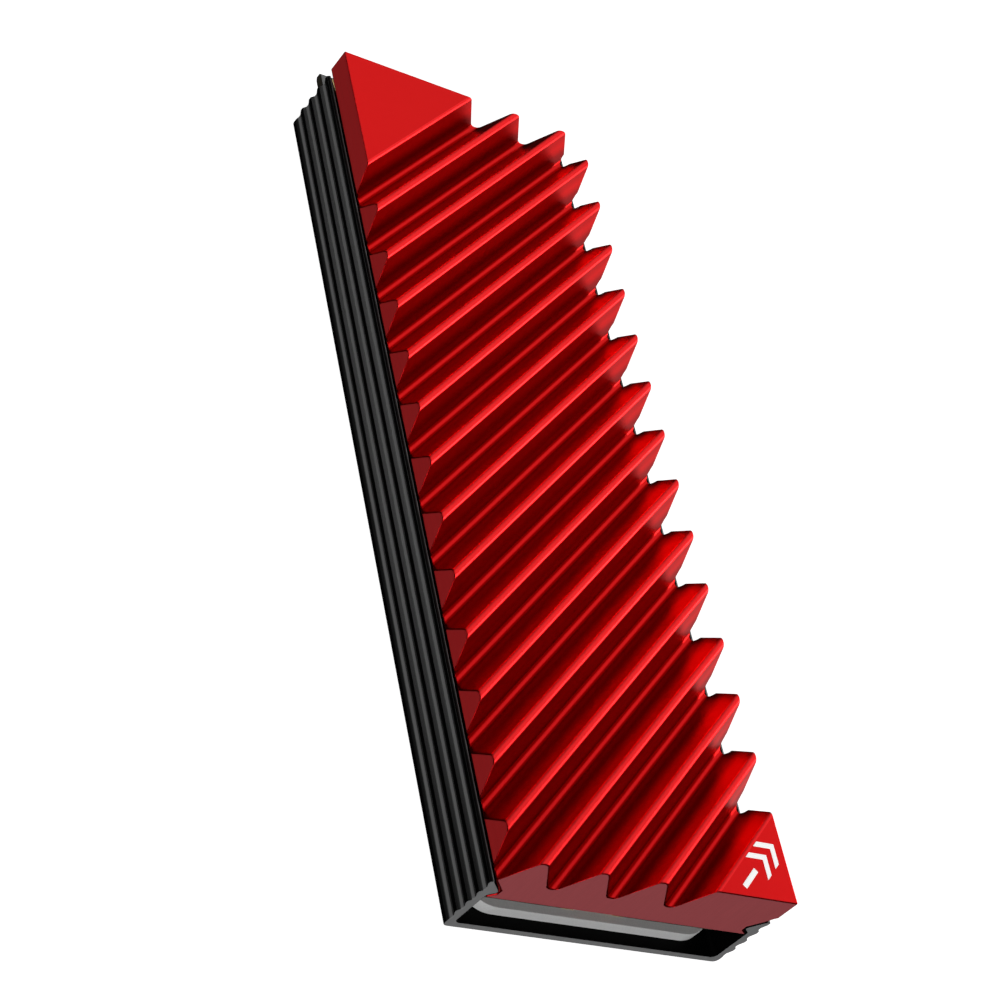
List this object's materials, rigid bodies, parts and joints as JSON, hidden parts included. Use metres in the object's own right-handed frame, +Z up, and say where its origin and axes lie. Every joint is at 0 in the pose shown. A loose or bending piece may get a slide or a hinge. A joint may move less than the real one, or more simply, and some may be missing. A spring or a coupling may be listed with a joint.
{
  "type": "solid state drive",
  "caption": "Slim card-shaped solid state drive held in a black ribbed tray under a slide-on red heatsink with diagonal fins.",
  "frame": {"origin": "middle of the whole outline (case and projecting edge connector), at the tray's underside", "axes": "+X along the card towards its edge connector, +Y towards the side where the key slot lies, +Z up out of the fins"},
  "size_m": [0.0816, 0.025, 0.0093],
  "materials": {
    "black_anodised": "satin black anodised extrusion",
    "red_anodised": "satin red anodised aluminium",
    "thermal_pad": "soft grey silicone thermal pad",
    "white_ink": "white screen-printed ink",
    "board": "black solder mask on glass-epoxy laminate",
    "gold": "gold-plated copper",
    "solder": "bright tin solder",
    "package_carrier": "green laminate package carrier",
    "package_mould": "matte black moulding compound",
    "small_package": "matte black moulding compound",
    "crystal_ceramic": "brown ceramic",
    "crystal_metal": "nickel-plated metal",
    "ferrite": "dark grey moulded ferrite",
    "reservoir": "dark brown moulded capacitor body",
    "ceramic": "tan ceramic",
    "resistor": "black glazed resistor film"
  },
  "bodies": {
    "case": {"tray": "black_anodised", "lower_thermal_pad": "thermal_pad"},
    "cooler": {"heatsink": "red_anodised", "upper_thermal_pad": "thermal_pad", "printed_mark": "white_ink"},
    "card": {"circuit_board": "board", "edge_contacts_top": "gold", "edge_contacts_bottom": "gold", "screw_land": "gold", "controller_balls": "solder", "controller_carrier": "package_carrier", "controller_mould": "package_mould", "flash_balls_1": "solder", "flash_carrier_1": "package_carrier", "flash_mould_1": "package_mould", "flash_balls_2": "solder", "flash_carrier_2": "package_carrier", "flash_mould_2": "package_mould", "buffer_balls": "solder", "buffer_carrier": "package_carrier", "buffer_mould": "package_mould", "power_controller": "small_package", "load_switch": "small_package", "boot_memory": "small_package", "boot_memory_leads": "solder", "crystal_base": "crystal_ceramic", "crystal_lid": "crystal_metal", "inductor_bodies": "ferrite", "inductor_terminals": "solder", "reservoir_capacitors": "reservoir", "reservoir_terminals": "solder", "ceramic_capacitors": "ceramic", "ceramic_capacitor_ends": "solder", "chip_resistors": "resistor", "chip_resistor_ends": "solder"}
  },
  "joints": [
    {"name": "heatsink_slide", "type": "slide", "parent": "case", "child": "cooler", "axis": [-1, 0, 0], "range_m": [0, 0.078]},
    {"name": "card_slide", "type": "slide", "parent": "case", "child": "card", "axis": [1, 0, 0], "range_m": [-0.00115, 0.077]}
  ]
}
